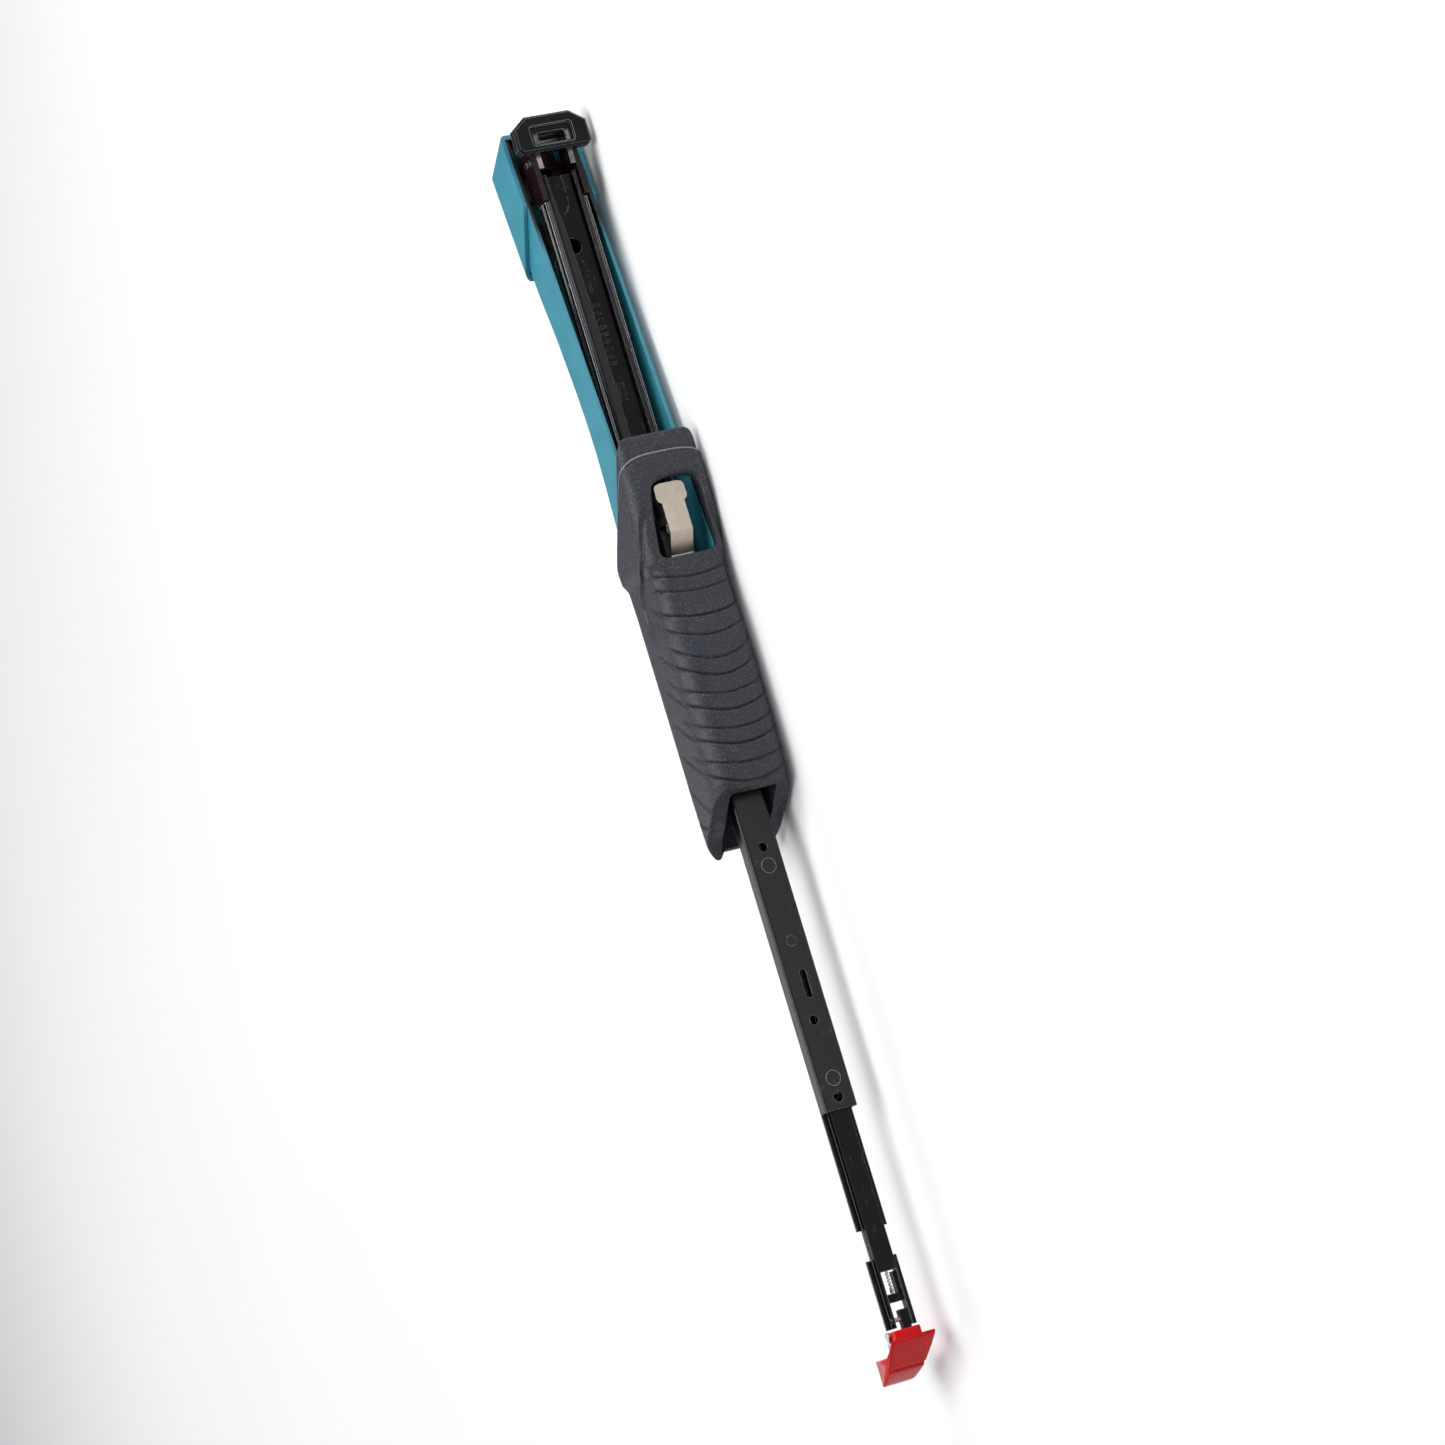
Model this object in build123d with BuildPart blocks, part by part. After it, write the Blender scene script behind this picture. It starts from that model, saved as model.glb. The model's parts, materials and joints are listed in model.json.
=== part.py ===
from build123d import *
import os

# Long reach stapler of the hammer-tacker kind, in its loading position: the
# magazine slides are drawn out of the rear of the grip.
# Design coordinates: x = 0 at the front of the magazine channel, + towards the
# head; y = 0 at the magazine's lips, + towards the tool's back; z = 0 on the
# middle plane. SX, SY, SZ move them to the row frame (base centre origin).
SX, SY, SZ = 261.45, -8.33, 20.4

# ---- driving dimensions, millimetres ----
HOUSE_HW = 16.0        # housing half width, outside
HOUSE_T = 1.6
SLEEVE_HW = 18.05      # strike sleeve half width, outside
SLEEVE_T = 2.0
GRIP_HW = 20.4         # grip half width
MAG_HW = 8.9           # magazine channel half width
MAG_H = 9.6            # magazine channel height
MAG_T = 1.0
OUT_HW = 7.75          # outer slide half width
OUT_T = 0.9
RAIL_HW = 4.6          # inner rail web half width
PIVOT = (-195.0, 14.3) # arm pivot, in x and y
STOP = (-262.0, 11.72) # arm stop pin
LATCH = (-188.0, -4.4) # push tab pivot
OUT_X0, OUT_X1 = -431.0, -226.0
RAIL_X0, RAIL_X1 = -527.0, -243.0

os.makedirs("parts", exist_ok=True)


def side(z=0.0):
    """Side view plane: local x, y are design x, y; extrudes towards +z."""
    return Plane(origin=(SX, SY, SZ + z), x_dir=(1, 0, 0), z_dir=(0, 0, 1))


def cross(x=0.0):
    """Section plane: local x, y are design y, z; extrudes towards +x."""
    return Plane(origin=(SX + x, SY, SZ), x_dir=(0, 1, 0), z_dir=(1, 0, 0))


def plan(y=0.0):
    """Plan plane: local x, y are design x, z; extrudes towards -y."""
    return Plane(origin=(SX, SY + y, SZ), x_dir=(1, 0, 0), z_dir=(0, -1, 0))


def save(builder, name):
    builder.part.label = name
    export_step(builder.part, f"parts/{name}.step")


# ------------------------------------------------------------------ housing
BOTTOM_FRONT = (21.4, 10.9)
house_bottom = [BOTTOM_FRONT, (-184.0, -9.9), (-190.0, -6.9), (-288.0, -6.9)]
house_top = [(-288.0, 20.2), (-200.0, 20.2), (-176.0, 19.3), (-152.0, 17.7), (-137.0, 16.5), (-120.0, 16.1), (-100.0, 17.3), (-80.0, 19.8), (-60.0, 23.0), (-48.0, 25.4), (-38.0, 26.7), (10.3, 32.1)]


def lower(points, d):
    return [(x, y - d) for x, y in points]


with BuildPart() as housing_channel:
    with BuildSketch(side(-HOUSE_HW)):
        with BuildLine():
            Polyline(*house_bottom, house_top[0], close=False)
            Polyline(house_top[0], house_top[1])
            Spline(*house_top[1:-1])
            Polyline(house_top[-2], house_top[-1], house_bottom[0])
        make_face()
    extrude(amount=2 * HOUSE_HW)
    fillet(housing_channel.edges().filter_by_position(Axis.Y, SY + 15.0, SY + 40.0).filter_by(lambda e: abs(abs(e.center().Z - SZ) - HOUSE_HW) < 0.01 and e.length > 12 and abs(e.tangent_at(0.5).X) > 0.8), radius=2.6)
    with BuildSketch(side(-HOUSE_HW + HOUSE_T)):
        with BuildLine():
            inner_top = lower(house_top, HOUSE_T)
            Polyline((30.0, -20.0), (-300.0, -20.0), (-300.0, inner_top[0][1]), inner_top[1])
            Spline(*inner_top[1:-1])
            Polyline(inner_top[-2], inner_top[-1], (30.0, inner_top[-1][1] + 2.2), (30.0, -20.0))
        make_face()
    extrude(amount=2 * (HOUSE_HW - HOUSE_T), mode=Mode.SUBTRACT)
    with BuildSketch(side(-HOUSE_HW - 1)):
        with Locations(PIVOT, STOP):
            Circle(2.55)
        with Locations((4.6, 26.0)):
            Circle(2.05)
    extrude(amount=2 * HOUSE_HW + 2, mode=Mode.SUBTRACT)
save(housing_channel, "housing_channel")

sleeve_out = [(24.2, 10.6), (12.4, 34.6), (-38.6, 28.8), (-10.4, 7.6)]
with BuildPart() as head_sleeve:
    with BuildSketch(side(-SLEEVE_HW)):
        with BuildLine():
            Polyline(*sleeve_out, close=True)
        make_face()
    extrude(amount=2 * SLEEVE_HW)
    fillet(head_sleeve.edges().filter_by(lambda e: abs(abs(e.center().Z - SZ) - SLEEVE_HW) < 0.01 and e.center().Y - SY > 20 and abs(e.tangent_at(0.5).X) > 0.9), radius=3.2)
    fillet(head_sleeve.edges().filter_by(lambda e: abs(abs(e.center().Z - SZ) - SLEEVE_HW) < 0.01 and e.center().X - SX > 14 and e.length > 20), radius=2.0)
    with BuildSketch(side(-HOUSE_HW - 0.05)):
        with BuildLine():
            Polyline((21.7, 10.9), (10.45, 32.3), (-38.0, 26.85), (-60.0, 24.3), (-60.0, -10.0), (21.7, -10.0), close=True)
        make_face()
    extrude(amount=2 * (HOUSE_HW + 0.05), mode=Mode.SUBTRACT)
save(head_sleeve, "head_sleeve")

with BuildPart() as driver_block:
    with BuildSketch(side(-6.1)):
        with BuildLine():
            Polyline((6.4, 13.2), (16.2, 13.2), (16.2, 18.2), (13.4, 23.4), (6.4, 23.4), close=True)
        make_face()
    extrude(amount=12.2)
    with BuildSketch(side(-14.3)):
        with BuildLine():
            Polyline((-4.5, 23.4), (11.6, 23.4), (8.6, 28.9), (-4.5, 27.6), close=True)
        make_face()
    extrude(amount=28.6)
    with BuildSketch(side(-20)):
        with Locations((4.6, 26.0)):
            Circle(2.05)
    extrude(amount=40, mode=Mode.SUBTRACT)
save(driver_block, "driver_block")

with BuildPart() as driver_blade:
    with BuildSketch(side(-6.1)):
        with BuildLine():
            Polyline((16.3, 5.0), (17.3, 5.0), (17.3, 18.6), (16.3, 18.6), close=True)
        make_face()
    extrude(amount=12.2)
    with BuildSketch(Plane(origin=(SX + 16.0, SY, SZ), x_dir=(0, 1, 0), z_dir=(1, 0, 0))):
        with Locations((16.0, -3.2), (16.0, 3.2)):
            Circle(1.1)
    extrude(amount=2, mode=Mode.SUBTRACT)
save(driver_blade, "driver_blade")

with BuildPart() as driver_pin:
    with BuildSketch(side(-15.9)):
        with Locations((4.6, 26.0)):
            Circle(2.0)
    extrude(amount=31.8)
    chamfer(driver_pin.edges().filter_by(GeomType.CIRCLE), length=0.4)
save(driver_pin, "driver_pin")

with BuildPart() as strike_bumper:
    with BuildSketch(side(-9.0)):
        with BuildLine():
            Polyline((-27.0, 20.4), (-15.0, 20.4), (-15.0, 27.45), (-27.0, 26.1), close=True)
        make_face()
    extrude(amount=18.0)
    fillet(strike_bumper.edges().filter_by(Axis.Z), radius=1.2)
save(strike_bumper, "strike_bumper")

with BuildPart() as pivot_pin:
    with BuildSketch(side(-17.6)):
        with Locations(PIVOT):
            Circle(2.5)
    extrude(amount=35.2)
    for zf, d in ((-17.6, -0.001), (16.05, 0.0)):
        with BuildSketch(side(zf + d)):
            with Locations(PIVOT):
                Circle(4.2)
        extrude(amount=1.55)
save(pivot_pin, "pivot_pin")

with BuildPart() as stop_pin:
    with BuildSketch(side(-16.0)):
        with Locations(STOP):
            Circle(2.5)
    extrude(amount=32.0)
    with BuildSketch(side(-9.0)):
        with Locations(STOP):
            Circle(2.5)
            Circle(2.0, mode=Mode.SUBTRACT)
    extrude(amount=18.0, mode=Mode.SUBTRACT)
save(stop_pin, "stop_pin")

with BuildPart() as return_spring:
    with BuildSketch(plan(23.9)):
        with Locations((-36.0, 0.0)):
            Circle(4.7)
            Circle(3.6, mode=Mode.SUBTRACT)
    extrude(amount=12.2)
save(return_spring, "return_spring")

# --------------------------------------------------------------------- grip
GRIP_TOP = 26.6
grip_profile_low = [(-128.6, -16.4), (-136.4, -16.6), (-137.2, -17.8), (-152.0, -17.6), (-166.0, -15.9), (-182.0, -14.8), (-230.0, -14.7), (-272.0, -14.9), (-282.0, -13.8), (-288.0, -11.8), (-291.0, -9.6)]
with BuildPart() as grip:
    with BuildSketch(side(-GRIP_HW)):
        with BuildLine():
            Polyline(*grip_profile_low, (-311.0, 22.6), (-311.2, 25.0), (-308.5, GRIP_TOP), (-186.0, GRIP_TOP), (-181.5, 21.8), (-176.0, 19.2), (-133.0, -13.4), (-128.6, -14.6), close=True)
        make_face()
    extrude(amount=2 * GRIP_HW)
    fillet(grip.edges().filter_by(lambda e: abs(abs(e.center().Z - SZ) - GRIP_HW) < 0.01 and e.center().X - SX < -170 and e.center().Y - SY > 26.0 and abs(e.tangent_at(0.5).X) > 0.9), radius=9.0)
    # lower corners of the body, rounded by two long cuts
    with BuildSketch(cross(-320.0)):
        with BuildLine():
            for s in (1, -1):
                Polyline((-9.5, s * 20.5), (-19.0, s * 20.5), (-19.0, s * 13.0), (-15.2, s * 14.4), (-12.6, s * 18.2), (-9.5, s * 20.5))
        make_face()
    extrude(amount=183.0, mode=Mode.SUBTRACT)
    # cavity for the housing and the arm
    with BuildSketch(side(-HOUSE_HW - 0.08)):
        with BuildLine():
            Polyline((-120.0, -13.2), (-189.0, -13.2), (-192.0, -11.6), (-246.0, -11.6), (-252.0, -8.6), (-300.0, -8.6), (-300.0, 22.0), (-288.0, 22.0), (-288.0, 20.28), (-200.0, 20.28), (-186.0, 20.1), (-120.0, 20.0), close=True)
        make_face()
    extrude(amount=2 * (HOUSE_HW + 0.08), mode=Mode.SUBTRACT)
    # mouth at the rear, a slot between two cheeks; the cap's hook stops against the back wall's end
    with BuildSketch(side(-11.3)):
        with BuildLine():
            Polyline((-286.0, -8.6), (-330.0, -8.6), (-330.0, 23.6), (-286.0, 23.6), close=True)
        make_face()
    extrude(amount=22.6, mode=Mode.SUBTRACT)
    # thumb window
    with BuildSketch(plan(-10.0)):
        with BuildLine():
            Polyline((-183.0, 13.0), (-162.0, 10.6), (-153.0, 9.6), (-149.4, 8.4), (-148.0, 4.0), (-147.4, -7.0), (-148.6, -11.0), (-152.0, -13.6), (-183.0, -14.8), close=True)
        make_face()
    extrude(amount=14.0, mode=Mode.SUBTRACT)
    # pockets over the pivot pin's and the stop pin's heads
    with BuildSketch(side(-19.0)):
        with Locations(PIVOT, STOP):
            Circle(4.8)
    extrude(amount=38.0, mode=Mode.SUBTRACT)
save(grip, "grip")

# ---------------------------------------------------------------------- arm
MAG_X0, MAG_X1 = -270.0, 0.0
with BuildPart() as magazine_channel:
    with BuildSketch(cross(MAG_X0)):
        with BuildLine():
            Polyline((0, -MAG_HW), (MAG_H, -MAG_HW), (MAG_H, MAG_HW), (0, MAG_HW), close=True)
        make_face()
        with BuildLine():
            Polyline((MAG_T, -MAG_HW + MAG_T), (MAG_H - 0.85, -MAG_HW + MAG_T), (MAG_H - 0.85, MAG_HW - MAG_T), (MAG_T, MAG_HW - MAG_T), close=True)
        make_face(mode=Mode.SUBTRACT)
    extrude(amount=MAG_X1 - MAG_X0)
    fillet(magazine_channel.edges().filter_by(Axis.X).filter_by(lambda e: abs(abs(e.center().Z - SZ) - MAG_HW) < 0.01 and e.center().Y - SY < 1.0), radius=1.7)
    fillet(magazine_channel.edges().filter_by(Axis.X).filter_by(lambda e: abs(abs(e.center().Z - SZ) - MAG_HW) < 0.01 and e.center().Y - SY > 9.0), radius=0.8)
    # slot between the lips, narrower behind the head
    with BuildSketch(plan(MAG_T)):
        with BuildLine():
            Polyline((1.0, 6.4), (-8.0, 6.3), (-31.0, 4.7), (-58.0, 3.8), (-271.0, 3.8), (-271.0, -6.2), (1.0, -6.2), close=True)
        make_face()
    extrude(amount=2.0, mode=Mode.SUBTRACT)
save(magazine_channel, "magazine_channel")

with BuildPart() as arm_rails:
    for s in (1, -1):
        with BuildSketch(cross(-240.0)):
            with BuildLine():
                a, b = MAG_HW + 0.02, MAG_HW + 1.25
                Polyline((1.5, s * a), (1.5, s * b), (4.4, s * b), (4.9, s * (b + 0.5)), (6.0, s * (b + 0.5)), (6.5, s * b), (9.4, s * b), (9.4, s * a), close=True)
            make_face()
        extrude(amount=228.0)
save(arm_rails, "arm_rails")

with BuildPart() as staple_track:
    with BuildSketch(plan(3.2)):
        with BuildLine():
            Polyline((-0.6, 6.45), (-0.6, 7.85), (-80.0, 7.85), (-80.0, 6.45), (-165.0, 6.45), (-165.0, -6.45), (-80.0, -6.45), (-80.0, -7.85), (-0.6, -7.85), close=True)
        make_face()
        with Locations((-33.6, 2.6)):
            Circle(3.7, mode=Mode.SUBTRACT)
    extrude(amount=0.8)
    # arched relief behind the nose
    with BuildSketch(plan(2.9)):
        with BuildLine():
            Polyline((1.0, -1.4), (-13.5, -1.4), (-17.2, 0.4), (-18.6, 2.6), (-17.2, 4.8), (-13.5, 6.2), (1.0, 6.2), close=True)
        make_face()
    extrude(amount=1.0, mode=Mode.SUBTRACT)
    # raised load marks: an arrow and a comb of generic tick marks
    with BuildSketch(plan(2.4)):
        for i in range(9):
            with Locations((-62.0 - 3.4 * i, 0.6)):
                Rectangle(1.1, 3.4)
        with BuildLine():
            Polyline((-46.0, 2.3), (-46.0, -1.1), (-40.5, 0.6), close=True)
        make_face()
        with Locations((-51.0, 0.6)):
            Rectangle(10.2, 1.0)
        with Locations((-99.0, 0.6)):
            Rectangle(1.0, 3.4)
        with Locations((-103.0, 2.0), (-103.0, -0.8)):
            Rectangle(7.0, 0.8)
    extrude(amount=0.2)
save(staple_track, "staple_track")

nose_out = [(26.3, 10.9), (21.1, 17.8), (11.6, 17.9), (9.5, 15.9), (9.5, -15.9), (11.6, -17.9), (21.1, -17.8), (26.3, -10.9)]
with BuildPart() as nose_plate:
    with BuildSketch(plan(-0.8)):
        with BuildLine():
            Polyline(*nose_out, close=True)
        make_face()
    extrude(amount=4.4)
    chamfer(nose_plate.faces().sort_by(Axis.Y)[0].outer_wire().edges(), length=1.1)
    with BuildSketch(plan(-3.4)):
        with Locations((16.8, 0.0)):
            RectangleRounded(9.4, 20.6, 1.6)
    extrude(amount=3.0, mode=Mode.SUBTRACT)
    with BuildSketch(plan(0.0)):
        with Locations((15.75, 0.0)):
            Rectangle(5.3, 12.9)
    extrude(amount=6.0, mode=Mode.SUBTRACT)
    with BuildSketch(plan(0.0)):
        with Locations((15.6, 7.7), (15.6, -7.7)):
            Rectangle(4.6, 1.5)
    extrude(amount=6.0, mode=Mode.SUBTRACT)
save(nose_plate, "nose_plate")

with BuildPart() as nose_guides:
    for s in (1, -1):
        with BuildSketch(side(-8.85 if s < 0 else 6.55)):
            with BuildLine():
                Polyline((3.0, -0.75), (18.0, -0.75), (18.0, 5.5), (14.5, 8.6), (3.0, 8.6), close=True)
            make_face()
            with Locations((7.0, 2.6), (7.0, 6.6)):
                Circle(1.02, mode=Mode.SUBTRACT)
        extrude(amount=2.3)
        # stubs that stand in the nose plate's side slots
        with BuildSketch(side(-8.3 if s < 0 else 7.1)):
            with BuildLine():
                Polyline((13.5, -0.75), (17.7, -0.75), (17.7, -3.3), (13.5, -3.3), close=True)
            make_face()
        extrude(amount=1.2)
save(nose_guides, "nose_guides")

with BuildPart() as nose_cheeks:
    for s in (1, -1):
        with BuildSketch(side(-11.1 if s < 0 else 8.95)):
            with BuildLine():
                Polyline((-11.4, -0.75), (16.0, -0.75), (16.0, 7.5), (12.5, 11.6), (-7.0, 11.6), (-11.4, 8.0), close=True)
            make_face()
            with Locations((7.0, 2.6), (7.0, 6.6), (-5.0, 4.6)):
                Circle(1.02, mode=Mode.SUBTRACT)
        extrude(amount=2.15)
save(nose_cheeks, "nose_cheeks")

with BuildPart() as nose_front:
    with BuildSketch(side(-8.8)):
        with BuildLine():
            Polyline((18.1, -0.75), (19.6, -0.75), (19.6, 3.6), (19.0, 4.7), (18.1, 4.7), close=True)
        make_face()
    extrude(amount=17.6)
save(nose_front, "nose_front")

with BuildPart() as nose_rivets:
    for s in (1, -1):
        with BuildSketch(side(6.55 if s > 0 else -11.1)):
            with Locations((7.0, 2.6), (7.0, 6.6)):
                Circle(1.0)
        extrude(amount=4.55)
        with BuildSketch(side(11.12 if s > 0 else -11.72)):
            with Locations((7.0, 2.6), (7.0, 6.6)):
                Circle(1.7)
        extrude(amount=0.6)
        with BuildSketch(side(11.0 if s > 0 else -11.2)):
            with Locations((7.0, 2.6), (7.0, 6.6)):
                Circle(1.0)
        extrude(amount=0.2)
save(nose_rivets, "nose_rivets")

with BuildPart() as pivot_bracket:
    with BuildSketch(cross(-206.0)):
        with BuildLine():
            Polyline((MAG_H + 0.02, -9.4), (MAG_H + 1.2, -9.4), (16.9, -9.4), (16.9, -10.9), (MAG_H + 0.02, -10.9), close=True)
        make_face()
        with BuildLine():
            Polyline((MAG_H + 0.02, 9.4), (16.9, 9.4), (16.9, 10.9), (MAG_H + 0.02, 10.9), close=True)
        make_face()
        with BuildLine():
            Polyline((MAG_H + 0.02, -9.4), (MAG_H + 1.2, -9.4), (MAG_H + 1.2, 9.4), (MAG_H + 0.02, 9.4), close=True)
        make_face()
    extrude(amount=22.0)
    with BuildSketch(side(-20)):
        with Locations(PIVOT):
            Circle(2.55)
    extrude(amount=40, mode=Mode.SUBTRACT)
save(pivot_bracket, "pivot_bracket")

with BuildPart() as spring_cup:
    with BuildSketch(plan(MAG_H + 0.02)):
        with Locations((-36.0, 0.0)):
            Circle(6.2)
    extrude(amount=-1.0)
    with BuildSketch(plan(MAG_H + 1.0)):
        with Locations((-36.0, 0.0)):
            Circle(3.2)
    extrude(amount=-2.6)
save(spring_cup, "spring_cup")

with BuildPart() as latch_bracket:
    with BuildSketch(side(-8.6)):
        with BuildLine():
            Polyline((-197.0, -0.02), (-197.0, -1.2), (-192.5, -7.0), (-183.5, -7.0), (-179.5, -1.2), (-179.5, -0.02), close=True)
        make_face()
        with Locations(LATCH):
            Circle(1.55, mode=Mode.SUBTRACT)
    extrude(amount=17.2)
    with BuildSketch(side(-7.4)):
        with BuildLine():
            Polyline((-200.0, -1.1), (-200.0, -8.0), (-176.0, -8.0), (-176.0, -1.1), close=True)
        make_face()
    extrude(amount=14.8, mode=Mode.SUBTRACT)
save(latch_bracket, "latch_bracket")

with BuildPart() as latch_pin:
    with BuildSketch(side(-8.6)):
        with Locations(LATCH):
            Circle(1.5)
    extrude(amount=17.2)
save(latch_pin, "latch_pin")

# -------------------------------------------------------------------- latch
with BuildPart() as push_tab:
    with BuildSketch(side(-5.4)):
        with BuildLine():
            Polyline((-152.0, -13.0), (-152.0, -14.2), (-172.0, -14.2), (-181.0, -7.6), (-190.0, -6.9), (-232.0, -5.2), (-239.2, -3.6), (-239.2, 0.55), (-232.4, 0.55), (-231.0, -3.4), (-216.0, -3.9), (-195.0, -4.2), (-191.0, -2.2), (-184.4, -2.2), (-182.0, -4.6), (-171.4, -13.0), close=True)
        make_face()
    extrude(amount=10.8)
    with BuildSketch(plan(-13.0)):
        with BuildLine():
            Polyline((-149.9, 4.0), (-150.5, 6.3), (-151.8, 7.2), (-156.8, 7.4), (-158.0, 6.8), (-158.9, 5.4), (-161.0, 5.2), (-161.0, -5.2), (-158.9, -5.4), (-158.0, -6.8), (-156.8, -7.4), (-151.8, -7.2), (-150.5, -6.3), (-149.9, -4.0), close=True)
        make_face()
    extrude(amount=1.2)
    with BuildSketch(side(-6)):
        with Locations(LATCH):
            Circle(1.55)
    extrude(amount=12, mode=Mode.SUBTRACT)
    with BuildSketch(side(3.3)):
        with BuildLine():
            Polyline((-245.0, 2.0), (-228.0, 2.0), (-228.0, -5.0), (-245.0, -5.0), close=True)
        make_face()
    extrude(amount=4.0, mode=Mode.SUBTRACT)
save(push_tab, "push_tab")

with BuildPart() as latch_spring:
    with BuildSketch(plan(-0.1)):
        with Locations((-168.0, -1.2)):
            Circle(2.6)
            Circle(1.9, mode=Mode.SUBTRACT)
    extrude(amount=12.8)
save(latch_spring, "latch_spring")

# -------------------------------------------------------------- outer slide
GUIDE_X, SHOE_X = -321.5, -417.3
with BuildPart() as outer_slide:
    with BuildSketch(cross(OUT_X0)):
        with BuildLine():
            Polyline((1.2, -OUT_HW), (7.4, -OUT_HW), (7.4, -OUT_HW + OUT_T), (1.2 + OUT_T, -OUT_HW + OUT_T), (1.2 + OUT_T, OUT_HW - OUT_T), (7.4, OUT_HW - OUT_T), (7.4, OUT_HW), (1.2, OUT_HW), close=True)
        make_face()
    extrude(amount=OUT_X1 - OUT_X0)
    fillet(outer_slide.edges().filter_by(Axis.X).filter_by(lambda e: abs(e.center().Y - SY - 1.2) < 0.01), radius=1.3)
    with BuildSketch(plan(3.0)):
        with Locations((-313.1, 0.0), (-391.2, 0.6)):
            Circle(2.05)
        with Locations((-425.6, 0.2)):
            Circle(2.3)
        with Locations((-375.0, -0.8)):
            SlotOverall(12.8, 2.9)
        with Locations((GUIDE_X, 0.0), (SHOE_X, 0.0)):
            Circle(2.02)
    extrude(amount=4.0, mode=Mode.SUBTRACT)
    with BuildSketch(plan(2.1)):
        with Locations((-355.5, 0.0)):
            Circle(2.4)
    extrude(amount=1.15)
save(outer_slide, "outer_slide")

with BuildPart() as slide_rivets:
    with BuildSketch(plan(1.18)):
        with Locations((GUIDE_X, 0.0), (SHOE_X, 0.0)):
            Circle(3.45)
    extrude(amount=0.4)
    with BuildSketch(plan(4.0)):
        with Locations((GUIDE_X, 0.0), (SHOE_X, 0.0)):
            Circle(2.0)
    extrude(amount=2.85)
save(slide_rivets, "slide_rivets")

with BuildPart() as slide_guide:
    with BuildSketch(plan(4.25)):
        with Locations((GUIDE_X, 0.0)):
            Rectangle(10.0, 7.2)
    extrude(amount=2.13)
    with BuildSketch(plan(6.0)):
        with Locations((GUIDE_X, 0.0)):
            Circle(1.35)
    extrude(amount=1.76)
    with BuildSketch(plan(6.0)):
        with Locations((GUIDE_X, 0.0)):
            Rectangle(6.0, 6.4)
    extrude(amount=0.65)
    with BuildSketch(plan(4.02)):
        with Locations((GUIDE_X, 0.0)):
            Circle(2.02)
    extrude(amount=3.0, mode=Mode.SUBTRACT)
save(slide_guide, "slide_guide")

with BuildPart() as rear_shoe:
    with BuildSketch(plan(4.2)):
        with Locations((SHOE_X, 0.0)):
            Rectangle(14.0, 12.6)
    extrude(amount=2.08)
    with BuildSketch(plan(4.02)):
        with Locations((SHOE_X, 0.0)):
            Circle(2.02)
    extrude(amount=3.0, mode=Mode.SUBTRACT)
save(rear_shoe, "rear_shoe")

# --------------------------------------------------------------- inner rail
with BuildPart() as inner_rail:
    with BuildSketch(cross(RAIL_X0)):
        with BuildLine():
            w, t = RAIL_HW, 0.8
            Polyline((4.4, -w), (7.7, -w), (7.7, -7.35), (8.45, -7.35), (8.45, -w + t), (5.2, -w + t), (5.2, w - t), (8.45, w - t), (8.45, 7.35), (7.7, 7.35), (7.7, w), (4.4, w), close=True)
        make_face()
    extrude(amount=RAIL_X1 - RAIL_X0)
    fillet(inner_rail.edges().filter_by(Axis.X).filter_by(lambda e: abs(e.center().Y - SY - 4.4) < 0.01), radius=0.5)
    # guide slot, and the open rear end
    with BuildSketch(plan(5.6)):
        with Locations((-371.0, 0.0)):
            SlotOverall(110.0, 3.2)
        with BuildLine():
            Polyline((-502.6, -3.75), (-502.6, 3.75), (-530.0, 3.75), (-530.0, -3.75), close=True)
        make_face()
    extrude(amount=2.0, mode=Mode.SUBTRACT)
    # notches in the flanges
    with BuildSketch(plan(8.6)):
        for s in (1, -1):
            with Locations((-489.8, s * 7.0)):
                Rectangle(13.2, 3.9)
    extrude(amount=1.0, mode=Mode.SUBTRACT)
    with BuildSketch(side(-5.0)):
        with Locations((-523.6, 6.6)):
            Circle(1.02)
    extrude(amount=10.0, mode=Mode.SUBTRACT)
save(inner_rail, "inner_rail")

# outer face slopes away towards the tool's back; one groove across it; thick hooked end
cap_line = [(-531.3, -1.2), (-533.2, -1.2), (-538.0, 6.0), (-542.6, 12.4), (-543.4, 13.9), (-543.2, 14.7), (-544.6, 15.5), (-546.6, 20.4), (-548.6, 26.0), (-549.2, 29.4), (-547.8, 31.8), (-541.0, 31.9), (-537.4, 31.4), (-537.8, 20.0), (-537.6, 12.2), (-535.6, 5.6), (-532.6, 0.6)]
with BuildPart() as end_cap:
    with BuildSketch(side(-10.7)):
        with BuildLine():
            Polyline(*cap_line, close=True)
        make_face()
    extrude(amount=21.4)
    # narrows towards the hooked end
    with BuildSketch(cross(-552.0)):
        with BuildLine():
            for s in (1, -1):
                Polyline((-1.3, s * 10.75), (6.0, s * 10.3), (14.7, s * 9.0), (28.0, s * 7.5), (29.8, s * 7.0), (31.4, s * 5.8), (33.0, s * 3.8), (33.0, s * 13.0), (-1.3, s * 13.0), (-1.3, s * 10.75))
        make_face()
    extrude(amount=26.0, mode=Mode.SUBTRACT)
    with BuildSketch(side(-6.4)):
        with BuildLine():
            Polyline((-527.06, 2.8), (-527.06, 11.2), (-538.5, 11.2), (-534.8, 2.8), close=True)
        make_face()
    extrude(amount=12.8)
    with BuildSketch(side(-3.7)):
        with BuildLine():
            Polyline((-527.1, 5.0), (-527.1, 8.4), (-519.6, 8.4), (-519.6, 5.0), close=True)
        make_face()
    extrude(amount=4.3)
    with BuildSketch(side(-12.0)):
        with Locations((-529.6, 8.9), (-533.6, 8.9)):
            Circle(1.02)
        with Locations((-523.6, 6.6)):
            Circle(1.02)
    extrude(amount=24.0, mode=Mode.SUBTRACT)
save(end_cap, "end_cap")

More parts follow.
